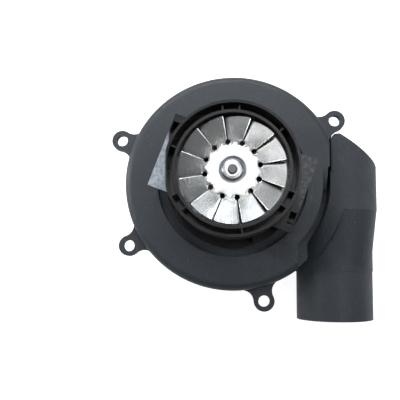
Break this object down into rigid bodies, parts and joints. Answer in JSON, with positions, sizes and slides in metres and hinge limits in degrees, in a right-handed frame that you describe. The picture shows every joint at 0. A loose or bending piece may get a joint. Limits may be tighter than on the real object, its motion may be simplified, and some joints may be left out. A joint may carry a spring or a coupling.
{
  "type": "draft inducer blower",
  "caption": "Round scroll blower with a tangential outlet pipe, mounting ears, a caged motor on the cover, a metal cooling fan and an impeller inside.",
  "frame": {"origin": "shaft axis at the housing's flat rear face", "axes": "+Z along the shaft from the inlet to the motor, +Y away from the outlet pipe's open end, +X from the shaft to the outlet pipe"},
  "size_m": [0.2083, 0.1885, 0.118],
  "materials": {
    "housing_plastic": "moulded black plastic, fine matt texture",
    "cage_plastic": "glossy black moulding",
    "gasket_rubber": "grey foam rubber",
    "seal_rubber": "red silicone",
    "black_rubber": "matt",
    "steel": "zinc plated",
    "shaft_steel": "ground",
    "lamination": "stacked laminations",
    "fan_aluminium": "bare stamped sheet",
    "cast_aluminium": "die cast",
    "copper": "enamelled copper wire",
    "brass": "plain",
    "tinned_brass": "tinned brass, dulled",
    "bronze": "sintered, oil filled",
    "nylon": "natural nylon",
    "wheel_plastic": "glass-filled black",
    "felt": "wool felt",
    "wire_cover": "insulated lead"
  },
  "bodies": {
    "housing": {"scroll_housing": "housing_plastic", "front_cover": "housing_plastic", "cover_gasket": "gasket_rubber", "inlet_gasket": "seal_rubber", "cover_screws": "steel", "motor_shell": "cage_plastic", "shell_screws": "steel", "fan_cage": "cage_plastic", "terminal_blades": "tinned_brass", "lead_wires": "wire_cover", "lead_grommets": "black_rubber", "stator_core": "lamination", "coil_bobbins": "nylon", "stator_coils": "copper", "thermal_protector": "nylon", "lower_bracket": "steel", "upper_bracket": "steel", "through_bolts": "steel", "stator_spacers": "steel", "motor_isolators": "black_rubber", "motor_nuts": "steel", "lower_bearing": "bronze", "upper_bearing": "bronze", "bearing_felts": "felt", "bearing_retainers": "steel", "shaft_seal": "felt"},
    "rotor": {"shaft": "shaft_steel", "rotor_core": "lamination", "rotor_end_rings": "cast_aluminium", "rotor_spacers": "steel", "thrust_washers": "nylon", "slinger": "black_rubber", "impeller": "wheel_plastic", "hub_insert": "brass", "hub_washer": "steel", "hub_nut": "steel", "cooling_fan": "fan_aluminium", "fan_bush": "cast_aluminium"}
  },
  "joints": [
    {"name": "rotor_spin", "type": "hinge", "parent": "housing", "child": "rotor", "pos_m": [0, 0, 0.06], "axis": [0, 0, 1], "continuous": true}
  ]
}
